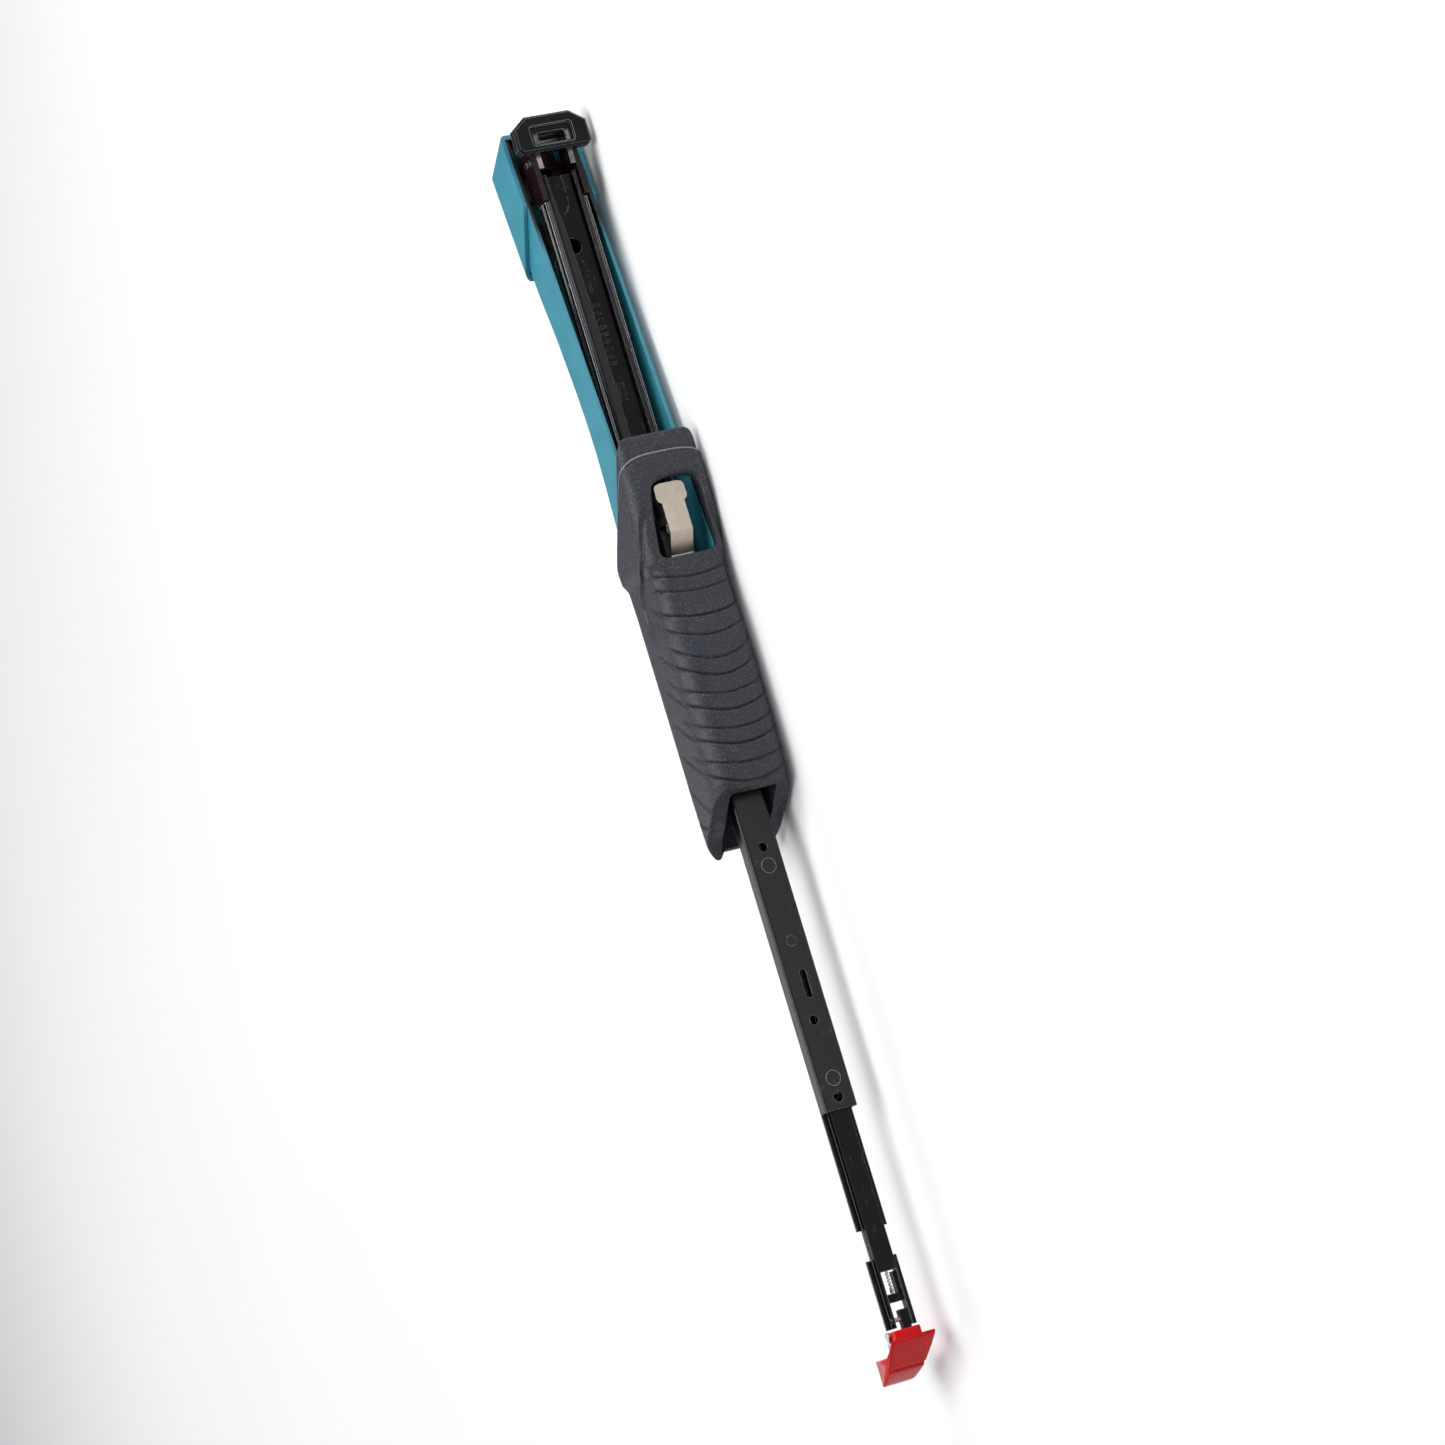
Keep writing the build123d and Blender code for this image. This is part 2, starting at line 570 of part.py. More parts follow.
with BuildPart() as cap_pins:
    with BuildSketch(side(-6.45)):
        with Locations((-529.6, 8.9), (-533.6, 8.9)):
            Circle(1.0)
    extrude(amount=12.9)
    for zz in (-7.7, 6.42):
        with BuildSketch(side(zz)):
            with Locations((-529.6, 8.9), (-533.6, 8.9)):
                Circle(1.85)
        extrude(amount=1.28)
    with BuildSketch(side(-4.9)):
        with Locations((-523.6, 6.6)):
            Circle(1.0)
    extrude(amount=9.8)
save(cap_pins, "cap_pins")

with BuildPart() as spring_seat:
    with BuildSketch(side(-3.7)):
        with BuildLine():
            Polyline((-512.4, 5.5), (-516.2, 5.5), (-516.2, 8.4), (-512.4, 8.4), close=True)
        make_face()
    extrude(amount=7.4)
    with BuildSketch(side(-3.7)):
        with BuildLine():
            Polyline((-503.2, 5.5), (-512.5, 5.5), (-512.5, 8.4), (-503.2, 8.4), close=True)
        make_face()
    extrude(amount=1.9)
    with BuildSketch(cross(-520)):
        with Locations((7.05, 0.0)):
            Circle(0.5)
    extrude(amount=12, mode=Mode.SUBTRACT)
save(spring_seat, "spring_seat")

with BuildPart() as rail_cover:
    with BuildSketch(cross(-501.0)):
        with BuildLine():
            Polyline((8.08, -3.77), (8.44, -3.77), (8.44, 3.77), (8.08, 3.77), close=True)
        make_face()
    extrude(amount=257.0)
save(rail_cover, "rail_cover")

with BuildPart() as spring_rod:
    with BuildSketch(cross(-516.0)):
        with Locations((7.05, 0.0)):
            Circle(0.48)
    extrude(amount=268.0)
save(spring_rod, "spring_rod")

with BuildPart() as follower_spring:
    with BuildSketch(cross(-512.3)):
        with Locations((7.05, 0.0)):
            Circle(0.98)
            Circle(0.62, mode=Mode.SUBTRACT)
    extrude(amount=253.0)
save(follower_spring, "follower_spring")

# ----------------------------------------------------------------- follower
with BuildPart() as follower:
    with BuildSketch(side(-3.3)):
        with BuildLine():
            Polyline((-259.0, 6.15), (-240.0, 6.15), (-240.0, 7.95), (-259.0, 7.95), close=True)
        make_face()
    extrude(amount=6.6)
    with BuildSketch(side(-3.6)):
        with BuildLine():
            Polyline((-242.4, 6.15), (-236.2, 6.15), (-236.2, 7.95), (-242.4, 7.95), close=True)
        make_face()
    extrude(amount=7.2)
    with BuildSketch(cross(-262)):
        with Locations((7.05, 0.0)):
            Circle(0.6)
    extrude(amount=30, mode=Mode.SUBTRACT)
save(follower, "follower")

print("done")
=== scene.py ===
import json
import math
import random
import bpy
import bmesh
import numpy as np
from mathutils import Matrix, Vector


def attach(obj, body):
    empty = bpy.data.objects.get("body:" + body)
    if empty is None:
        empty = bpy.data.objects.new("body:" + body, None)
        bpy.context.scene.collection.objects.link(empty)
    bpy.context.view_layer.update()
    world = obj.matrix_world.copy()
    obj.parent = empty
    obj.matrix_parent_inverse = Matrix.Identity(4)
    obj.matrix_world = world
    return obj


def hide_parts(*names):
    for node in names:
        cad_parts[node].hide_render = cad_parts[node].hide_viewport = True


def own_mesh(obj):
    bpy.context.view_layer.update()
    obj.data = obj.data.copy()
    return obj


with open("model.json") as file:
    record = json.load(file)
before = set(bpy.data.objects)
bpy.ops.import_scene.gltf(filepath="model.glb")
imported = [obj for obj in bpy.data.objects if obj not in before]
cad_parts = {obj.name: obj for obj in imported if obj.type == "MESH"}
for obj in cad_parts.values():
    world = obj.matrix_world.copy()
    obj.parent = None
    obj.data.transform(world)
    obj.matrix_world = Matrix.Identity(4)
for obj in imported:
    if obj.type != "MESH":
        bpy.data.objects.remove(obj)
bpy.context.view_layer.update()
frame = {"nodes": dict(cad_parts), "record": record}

random.seed(7)
NODE = frame["nodes"]

# design coordinates (mm) to the row frame (m)
SX, SY, SZ = 261.45, -8.33, 20.4


def P(x, y, z):
    return Vector(((x + SX) / 1000.0, (y + SY) / 1000.0, (z + SZ) / 1000.0))


# ------------------------------------------------------------------ camera
R = np.array([
    [-0.287048576, -0.353255128, -0.890400994],
    [-0.945740721, 0.252239526, 0.204816282],
    [0.152241922, 0.900880700, -0.406492756]])
T = np.array([-72.009639, -242.626660, 2205.494778])
cam_pos = -R.T @ T
cam_data = bpy.data.cameras.new("camera")
cam_data.sensor_width = 36.0
cam_data.lens = 5000.0 / 1445.0 * 36.0
cam_data.clip_start, cam_data.clip_end = 0.05, 30.0
cam = bpy.data.objects.new("camera", cam_data)
bpy.context.scene.collection.objects.link(cam)
m = Matrix(((R[0][0], -R[1][0], -R[2][0]), (R[0][1], -R[1][1], -R[2][1]), (R[0][2], -R[1][2], -R[2][2]))).to_4x4()
m.translation = P(*cam_pos)
cam.matrix_world = m
bpy.context.scene.camera = cam


# --------------------------------------------------------------- materials
class Tree:
    def __init__(self, name):
        self.mat = bpy.data.materials.new(name)
        self.mat.use_nodes = True
        self.nt = self.mat.node_tree
        self.nt.nodes.clear()
        self.out = self.nt.nodes.new("ShaderNodeOutputMaterial")
        self.bsdf = self.nt.nodes.new("ShaderNodeBsdfPrincipled")
        self.nt.links.new(self.bsdf.outputs[0], self.out.inputs[0])
        self.co = self.nt.nodes.new("ShaderNodeTexCoord").outputs["Object"]

    def n(self, kind, **kw):
        node = self.nt.nodes.new(kind)
        for k, v in kw.items():
            setattr(node, k, v)
        return node

    def link(self, a, b):
        self.nt.links.new(a, b)

    def scaled(self, sx, sy, sz):
        mp = self.n("ShaderNodeMapping")
        mp.inputs["Scale"].default_value = (sx, sy, sz)
        self.link(self.co, mp.inputs["Vector"])
        return mp.outputs[0]

    def noise(self, scale, detail=3.0, rough=0.5, vec=None):
        node = self.n("ShaderNodeTexNoise")
        node.inputs["Scale"].default_value = scale
        node.inputs["Detail"].default_value = detail
        node.inputs["Roughness"].default_value = rough
        self.link(vec if vec is not None else self.co, node.inputs["Vector"])
        return node.outputs["Fac"]

    def ramp(self, fac, lo, hi, a=0.0, b=1.0):
        node = self.n("ShaderNodeMapRange")
        node.clamp = True
        self.link(fac, node.inputs["Value"])
        node.inputs["From Min"].default_value = lo
        node.inputs["From Max"].default_value = hi
        node.inputs["To Min"].default_value = a
        node.inputs["To Max"].default_value = b
        return node.outputs[0]

    def math(self, op, a, b=None):
        node = self.n("ShaderNodeMath", operation=op)
        for i, v in enumerate((a, b)):
            if v is None:
                continue
            if isinstance(v, (int, float)):
                node.inputs[i].default_value = v
            else:
                self.link(v, node.inputs[i])
        return node.outputs[0]

    def mix(self, fac, a, b):
        node = self.n("ShaderNodeMix", data_type="RGBA")
        if isinstance(fac, (int, float)):
            node.inputs[0].default_value = fac
        else:
            self.link(fac, node.inputs[0])
        for i, v in ((6, a), (7, b)):
            if isinstance(v, tuple):
                node.inputs[i].default_value = (*v, 1.0)
            else:
                self.link(v, node.inputs[i])
        return node.outputs[2]

    def edges(self, radius, lo=0.02, hi=0.25):
        """0 on flats, 1 on outside and inside edges, from the difference of rounded and flat normals."""
        bev = self.n("ShaderNodeBevel", samples=6)
        bev.inputs["Radius"].default_value = radius
        geo = self.n("ShaderNodeNewGeometry")
        dot = self.n("ShaderNodeVectorMath", operation="DOT_PRODUCT")
        self.link(bev.outputs[0], dot.inputs[0])
        self.link(geo.outputs["Normal"], dot.inputs[1])
        return self.ramp(self.math("SUBTRACT", 1.0, dot.outputs["Value"]), lo, hi)

    def bump(self, height, strength, distance, radius=None):
        node = self.n("ShaderNodeBump")
        node.inputs["Strength"].default_value = strength
        node.inputs["Distance"].default_value = distance
        self.link(height, node.inputs["Height"])
        if radius:
            bev = self.n("ShaderNodeBevel", samples=4)
            bev.inputs["Radius"].default_value = radius
            self.link(bev.outputs[0], node.inputs["Normal"])
        self.link(node.outputs[0], self.bsdf.inputs["Normal"])
        return node

    def set(self, **kw):
        for k, v in kw.items():
            sock = self.bsdf.inputs[k.replace("_", " ")]
            if isinstance(v, (int, float)):
                sock.default_value = v
            elif isinstance(v, tuple):
                sock.default_value = (*v, 1.0)
            else:
                self.link(v, sock)


def painted(name, base, dark, pale, rough, grain, grain_depth, bevel=0.00035, coat=0.0, edge_wear_and_highlight=0.35, spec=0.5, painted_shade_inside=False):
    t = Tree(name)
    cloud = t.noise(55.0, 4.0, 0.6)
    fine = t.noise(grain, 2.0, 0.55)
    scuff = t.noise(260.0, 5.0, 0.75, t.scaled(0.35, 1.0, 1.0))
    c = t.mix(t.ramp(cloud, 0.35, 0.7), dark, base)
    c = t.mix(t.math("MULTIPLY", t.ramp(scuff, 0.6, 0.8), 0.25), c, pale)
    # pale colour along edges: partly edge wear, and where the edge amount reaches 1.0 an almost unbroken pale line,
    # a painted highlight standing in for light on rounded edges
    edge_wear_and_highlight_mask = t.math("MULTIPLY", t.edges(0.0006, 0.03, 0.2), t.ramp(t.noise(420.0, 4.0, 0.7), 0.36 if edge_wear_and_highlight < 1.0 else 0.10, 0.55 if edge_wear_and_highlight < 1.0 else 0.34, 0.0, edge_wear_and_highlight))
    c = t.mix(edge_wear_and_highlight_mask, c, pale)
    if painted_shade_inside:
        # painted shade: inside faces round the driver are painted near black, standing in for the shade inside the
        # housing
        sep = t.n("ShaderNodeSeparateXYZ")
        t.link(t.co, sep.inputs[0])
        inner = t.math("MULTIPLY", t.ramp(sep.outputs[0], (SX - 34.0) / 1000, (SX - 20.0) / 1000), t.ramp(t.math("ABSOLUTE", t.math("SUBTRACT", sep.outputs[2], SZ / 1000)), 0.01600, 0.01598))
        inner = t.math("MULTIPLY", inner, t.ramp(sep.outputs[1], (SY + 17.0) / 1000, (SY + 14.0) / 1000))
        # not the outside of the front wall, whose inner face is at x = 21.7
        inner = t.math("MULTIPLY", inner, t.ramp(sep.outputs[0], (SX + 22.4) / 1000, (SX + 22.0) / 1000))
        c = t.mix(inner, c, (0.004, 0.004, 0.005))
    r = t.math("ADD", t.ramp(cloud, 0.3, 0.7, rough - 0.04, rough + 0.05), t.ramp(scuff, 0.55, 0.8, 0.0, 0.12))
    t.set(Base_Color=c, Roughness=r, Coat_Weight=coat, Coat_Roughness=0.12, Specular_IOR_Level=spec)
    t.bump(fine, 0.35, grain_depth, bevel)
    return t.mat


def metal(name, base, dark, rough, stretch, bevel=0.0003, edge=0.3):
    t = Tree(name)
    lines = t.noise(900.0, 4.0, 0.6, t.scaled(*stretch))
    cloud = t.noise(90.0, 4.0, 0.6)
    c = t.mix(t.ramp(cloud, 0.3, 0.7), dark, base)
    c = t.mix(t.math("MULTIPLY", t.ramp(lines, 0.55, 0.75), 0.35), c, dark)
    r = t.math("ADD", t.ramp(lines, 0.3, 0.7, rough - 0.05, rough + 0.08), t.ramp(cloud, 0.4, 0.7, 0.0, 0.08))
    t.set(Base_Color=c, Metallic=1.0, Roughness=r)
    t.bump(lines, 0.25, 0.00004, bevel)
    return t.mat


def rubber(name, base, dark, pale, rough, grain=1500.0, depth=0.00022, bevel=0.0003):
    t = Tree(name)
    cloud = t.noise(40.0, 4.0, 0.6)
    fine = t.noise(grain, 2.5, 0.6)
    speck = t.noise(grain * 0.8, 1.0, 0.5)
    c = t.mix(t.ramp(cloud, 0.35, 0.7), dark, base)
    c = t.mix(t.math("MULTIPLY", t.ramp(speck, 0.56, 0.7), 0.55), c, pale)
    r = t.ramp(cloud, 0.3, 0.7, rough - 0.06, rough + 0.05)
    t.set(Base_Color=c, Roughness=r, Specular_IOR_Level=0.42)
    t.bump(fine, 0.6, depth, bevel)
    return t.mat


def plastic(name, base, dark, pale, rough, coat=0.3, spec=0.5):
    t = Tree(name)
    cloud = t.noise(70.0, 3.0, 0.5)
    fine = t.noise(2600.0, 2.0, 0.5)
    scuff = t.noise(500.0, 5.0, 0.8, t.scaled(1.0, 0.4, 1.0))
    c = t.mix(t.ramp(cloud, 0.35, 0.7), dark, base)
    c = t.mix(t.math("MULTIPLY", t.ramp(scuff, 0.6, 0.78), 0.3), c, pale)
    r = t.math("ADD", t.ramp(cloud, 0.3, 0.7, rough - 0.04, rough + 0.05), t.ramp(scuff, 0.55, 0.8, 0.0, 0.15))
    t.set(Base_Color=c, Roughness=r, Coat_Weight=coat, Coat_Roughness=0.1, Specular_IOR_Level=spec)
    t.bump(fine, 0.2, 0.00003, 0.0004)
    return t.mat


# the black coats carry high edge amounts: their pale edge lines are painted highlights, the teal and maroon edges
# are wear
MAT = {
    # the last True paints near-black shade on the teal's inside faces round the driver
    "teal_paint": painted("teal_paint", (0.034, 0.232, 0.308), (0.026, 0.200, 0.272), (0.14, 0.36, 0.42), 0.38, 2600.0, 0.00003, 0.0006, 0.0, 0.55, 0.55, True),
    "maroon_paint": painted("maroon_paint", (0.016, 0.0045, 0.007), (0.009, 0.0028, 0.004), (0.12, 0.08, 0.08), 0.28, 2200.0, 0.00002, 0.0004, 0.0, 0.6, 0.20),
    "black_coat": painted("black_coat", (0.0028, 0.0022, 0.0032), (0.0016, 0.0013, 0.0019), (0.22, 0.22, 0.24), 0.20, 2400.0, 0.00002, 0.0008, 0.0, 0.8, 0.12),
    "slide_coat": painted("slide_coat", (0.0045, 0.0038, 0.0050), (0.0028, 0.0024, 0.0032), (0.26, 0.26, 0.28), 0.27, 2400.0, 0.00002, 0.0008, 0.0, 0.9, 0.34),
    "nose_coat": painted("nose_coat", (0.0030, 0.0030, 0.0040), (0.0018, 0.0018, 0.0024), (0.36, 0.36, 0.38), 0.24, 1800.0, 0.00003, 0.0008, 0.0, 1.0, 0.13),
    "nickel": metal("nickel", (0.50, 0.47, 0.43), (0.24, 0.22, 0.21), 0.24, (0.15, 1.0, 1.0)),
    "tab_nickel": metal("tab_nickel", (0.56, 0.50, 0.42), (0.44, 0.38, 0.31), 0.42, (0.3, 1.0, 1.0)),
    "plain_steel": metal("plain_steel", (0.48, 0.47, 0.46), (0.26, 0.25, 0.25), 0.30, (1.0, 1.0, 0.12)),
    "spring_wire": metal("spring_wire", (0.72, 0.70, 0.68), (0.45, 0.44, 0.42), 0.20, (1.0, 1.0, 1.0), None),
    "grip_rubber": rubber("grip_rubber", (0.0175, 0.0208, 0.0285), (0.0135, 0.0160, 0.0222), (0.080, 0.092, 0.115), 0.50, 1400.0, 0.00030),
    "bumper_rubber": rubber("bumper_rubber", (0.020, 0.020, 0.021), (0.012, 0.012, 0.013), (0.05, 0.05, 0.05), 0.7),
    "black_plastic": plastic("black_plastic", (0.016, 0.016, 0.017), (0.010, 0.010, 0.011), (0.05, 0.05, 0.05), 0.45, 0.0),
    "red_plastic": plastic("red_plastic", (0.57, 0.005, 0.008), (0.49, 0.004, 0.006), (0.60, 0.03, 0.03), 0.24, 0.0, 0.12),
}
SLOT_OF = {s["node"]: s["material_slot"] for s in frame["record"]["subparts"]}


def dress(obj, slot):
    obj.data.materials.clear()
    obj.data.materials.append(MAT[slot])


for name, obj in NODE.items():
    dress(obj, SLOT_OF[name])


def redress(node, material):
    NODE[node].data.materials.clear()
    NODE[node].data.materials.append(material)


# pressed rivets, the arm rails and the rail pieces get an almost unbroken pale line round their rims and edges, a
# painted highlight standing in for light on them; the tempered guides are dark with bright streaks
redress("slide_rivets", painted("slide_coat_rivet", (0.0045, 0.0038, 0.0050), (0.0028, 0.0024, 0.0032), (0.42, 0.42, 0.45), 0.26, 2400.0, 0.00002, 0.0003, 0.0, 1.0, 0.34))
redress("arm_rails", painted("black_coat_rail", (0.006, 0.005, 0.006), (0.003, 0.003, 0.003), (0.80, 0.80, 0.82), 0.20, 2400.0, 0.00002, 0.0003, 0.0, 1.0, 0.5))
redress("magazine_channel", painted("black_coat_lips", (0.0040, 0.0032, 0.0044), (0.0026, 0.0020, 0.0028), (0.20, 0.20, 0.22), 0.26, 2400.0, 0.00001, 0.0010, 0.0, 0.5, 0.30))
for node in ("inner_rail", "rail_cover", "slide_guide"):
    redress(node, painted("slide_coat_" + node, (0.0032, 0.0027, 0.0038), (0.0020, 0.0016, 0.0024), (0.30, 0.30, 0.33), 0.24, 2400.0, 0.00002, 0.0010, 0.0, 1.0, 0.15))
# pale rubber for the faces along the collar step: a painted highlight standing in for light on the rounded step edge
grip_collar_highlight = rubber("grip_rubber_collar_highlight", (0.20, 0.21, 0.23), (0.14, 0.15, 0.165), (0.30, 0.31, 0.34), 0.35)
redress("nose_guides", metal("nickel_dark", (0.34, 0.30, 0.26), (0.03, 0.027, 0.025), 0.22, (0.15, 1.0, 1.0)))


# ------------------------------------------------------------- mesh helpers
def mesh_obj(name, verts, faces, slot, body, smooth=True, angle=None):
    me = bpy.data.meshes.new(name)
    me.from_pydata([tuple(v) for v in verts], [], faces)
    me.update()
    bm = bmesh.new()
    bm.from_mesh(me)
    bmesh.ops.remove_doubles(bm, verts=bm.verts, dist=1e-7)
    bmesh.ops.recalc_face_normals(bm, faces=bm.faces)
    bm.to_mesh(me)
    bm.free()
    if smooth:
        for p in me.polygons:
            p.use_smooth = True
        if angle is not None:
            me.set_sharp_from_angle(angle=math.radians(angle))
    ob = bpy.data.objects.new(name, me)
    bpy.context.scene.collection.objects.link(ob)
    me.materials.append(MAT[slot])
    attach(ob, body)
    return ob


def tube(points, radius, sides=8):
    """Verts and faces of a closed tube along a list of points."""
    pts = [Vector(p) for p in points]
    verts, faces = [], []
    up = None
    for i, p in enumerate(pts):
        a = pts[max(i - 1, 0)]
        b = pts[min(i + 1, len(pts) - 1)]
        d = (b - a).normalized()
        if up is None:
            up = d.orthogonal().normalized()
        up = (up - d * up.dot(d)).normalized()
        side = d.cross(up)
        for k in range(sides):
            t = 2 * math.pi * k / sides
            verts.append(p + (up * math.cos(t) + side * math.sin(t)) * radius)
    n = len(pts)
    for i in range(n - 1):
        for k in range(sides):
            j = (k + 1) % sides
            faces.append((i * sides + k, i * sides + j, (i + 1) * sides + j, (i + 1) * sides + k))
    faces.append(tuple(range(sides))[::-1])
    faces.append(tuple((n - 1) * sides + k for k in range(sides)))
    return verts, faces


def coil(axis, start, length, radius, wire, turns, flat_ends=1.2, per=18, sides=8):
    """Compression spring: closed end turns, open middle, along +axis from start."""
    out = []
    total = int(turns * per)
    for i in range(total + 1):
        t = i / per
        # closed turns at each end
        f = t / turns
        e = flat_ends / turns
        if f < e:
            h = wire * 2.05 * t
        elif f > 1 - e:
            h = length - wire * 2.05 * (turns - t)
        else:
            h0, h1 = wire * 2.05 * flat_ends, length - wire * 2.05 * flat_ends
            h = h0 + (h1 - h0) * (f - e) / (1 - 2 * e)
        a = 2 * math.pi * t
        c, s = radius * math.cos(a), radius * math.sin(a)
        if axis == "x":
            out.append((start[0] + h, start[1] + c, start[2] + s))
        else:
            out.append((start[0] + c, start[1] + h, start[2] + s))
    return tube([P(*p) for p in out], wire / 1000.0, sides)


# ----------------------------------------------------------------- springs
v, f = coil("y", (-36.0, 11.35, 0.0), 12.8, 4.5, 0.55, 5.6)
ret = mesh_obj("return_spring_coil", v, f, "spring_wire", "housing")
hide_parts("return_spring")
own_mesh(ret)

v, f = coil("y", (-168.0, -12.6, -1.2), 11.9, 2.2, 0.3, 7.0, per=16, sides=6)
lsp = mesh_obj("latch_spring_coil", v, f, "spring_wire", "latch")
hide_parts("latch_spring")
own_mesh(lsp)

v, f = coil("x", (-511.9, 7.05, 0.0), 252.6, 0.78, 0.19, 168.0, flat_ends=4.0, per=10, sides=5)
fsp = mesh_obj("follower_spring_coil", v, f, "spring_wire", "inner_rail")
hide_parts("follower_spring")
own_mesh(fsp)


# -------------------------------------------------------------------- grip
# Section table along x: half width, bottom y, bottom corner radius, top corner radius.
GT = np.array([
    (-126.0, 20.30, -17.55, 6.8, 9.0),
    (-137.6, 20.38, -17.75, 7.2, 9.0),
    (-152.0, 20.38, -17.4, 7.4, 9.0),
    (-168.0, 20.38, -15.7, 7.2, 9.0),
    (-181.0, 20.38, -14.9, 7.8, 9.5),
    (-184.2, 20.3, -14.8, 8.3, 10.0),
    (-187.4, 19.2, -14.8, 9.6, 12.5),
    (-200.0, 19.1, -14.8, 10.6, 13.2),
    (-230.0, 19.2, -14.9, 11.4, 13.6),
    (-260.0, 19.2, -14.9, 12.0, 13.6),
    (-275.0, 19.2, -14.6, 12.2, 13.6),
    (-284.0, 19.1, -13.4, 12.2, 13.2),
    (-290.0, 18.9, -10.9, 11.6, 12.8),
    (-300.0, 18.6, -6.0, 11.0, 12.4),
    (-313.0, 18.0, 2.0, 10.5, 12.0)])
GRIP_YT = 26.45


def gtab(x, col):
    return np.interp(-x, -GT[:, 0], GT[:, col])


NT, NU = 240, 560


def contour(w, yb, rb, rt, n):
    """Closed rounded section in (y, z), starting at the bottom centre and going round over +z; n points evenly spaced by length."""
    yt = GRIP_YT
    pts = []
    def arc(cy, cz, r, a0, a1, k=14):
        for i in range(k + 1):
            a = a0 + (a1 - a0) * i / k
            pts.append((cy + r * math.sin(a), cz + r * math.cos(a)))
    pts.append((yb, 0.0))
    arc(yb + rb, w - rb, rb, -math.pi / 2, 0.0)
    arc(yt - rt, w - rt, rt, 0.0, math.pi / 2)
    pts.append((yt, 0.0))
    half = np.array(pts)
    other = half[::-1].copy()
    other[:, 1] *= -1
    full = np.vstack([half, other[1:]])
    seg = np.hypot(*np.diff(full, axis=0).T)
    s = np.concatenate([[0], np.cumsum(seg)])
    q = np.linspace(0, s[-1], n + 1)[:-1]
    return np.stack([np.interp(q, s, full[:, 0]), np.interp(q, s, full[:, 1])], 1), q, s[-1]


def smooth01(v):
    v = np.clip(v, 0, 1)
    return v * v * (3 - 2 * v)


# groove lines on the left half: x against girth position a (mm from the bottom centre line)
GROOVES = [
    ("A", [(0, -192.3), (20.7, -189.0), (24, -187.3)]),
    ("A", [(0, -198.8), (20.5, -196.0), (25, -193.6)]),
    ("B", [(0, -210.3), (12.1, -209.4), (20, -206.2), (27.7, -201.5), (31.5, -198.6)]),
    ("A", [(0, -219.2), (9.3, -218.6), (19.7, -213.5), (29.1, -206.5)]),
    ("A", [(0, -230.2), (11.0, -228.0), (19.3, -223.0), (24, -219.4)]),
    ("B", [(0, -238.2), (4.8, -237.0), (21.7, -229.5), (35.6, -219.5)]),
    ("A", [(0, -246.8), (18.3, -240.5), (32.8, -232.5)]),
    ("B", [(0, -253.8), (6.9, -252.5), (15.1, -250.3), (34.5, -238.0), (38, -235.6)]),
    ("A", [(0, -262.0), (12.0, -260.0), (30.3, -250.5)]),
    ("B", [(0, -268.8), (14.1, -266.3), (35.8, -253.0), (40, -250.2)]),
    ("A", [(0, -277.6), (10.2, -276.0), (30.5, -267.0)]),
    ("B", [(0, -285.8), (7.4, -284.5), (17.2, -281.0), (38.1, -267.0), (42, -264.0)]),
    ("B", [(11.0, -299.2), (13.3, -298.0), (29.1, -290.0), (46.6, -277.0)]),
    ("B", [(13.5, -306.2), (15.7, -305.0), (40.7, -294.0), (45, -291.6)])]


def groove_depth(a, x):
    """Depth of the grooves at girth position a (>= 0) and length x, and the roll of the ribs between them."""
    d = np.zeros_like(x)
    for kind, table in GROOVES:
        ga = np.array([p[0] for p in table]); gx = np.array([p[1] for p in table])
        inside = smooth01((a - ga[0] + 1.5) / 3.0) * smooth01((ga[-1] + 1.0 - a) / 4.0) if ga[0] > 0.5 else smooth01((ga[-1] + 1.0 - a) / 4.0)
        if ga[0] > 0.5:
            cf = np.polyfit(ga, gx, 2 if len(ga) > 3 else 1)
            xs = np.polyval(cf, np.clip(a, ga[0], ga[-1]))
        else:
            # level across the bottom centre line, so the two halves meet without a kink
            terms = [2, 3] if len(ga) > 3 else [2]
            m = np.stack([np.ones_like(ga, float)] + [ga.astype(float) ** q for q in terms], 1)
            cf = np.linalg.lstsq(m, gx.astype(float), rcond=None)[0]
            aa = np.clip(a, 0, ga[-1])
            xs = cf[0] + sum(c * aa ** q for c, q in zip(cf[1:], terms))
        t = x - xs
        # crisp front lip, soft slope behind
        shape = np.where(t > 0, np.exp(-(t / 0.34) ** 2), np.exp(-(np.abs(t) / 0.62) ** 1.5))
        lip = np.exp(-((t + 1.15) / 0.5) ** 2) * 0.12 + np.exp(-((t - 0.85) / 0.4) ** 2) * 0.06
        d = np.where(shape > 0.02, np.maximum(d, shape * inside * (1.0 if kind == "B" else 0.85)), d) - lip * inside
    return d


CREASE = [(14.6, -157.0), (16.8, -163.0), (23.5, -180.0), (34.5, -193.0), (37.3, -199.0), (36.6, -212.0)]


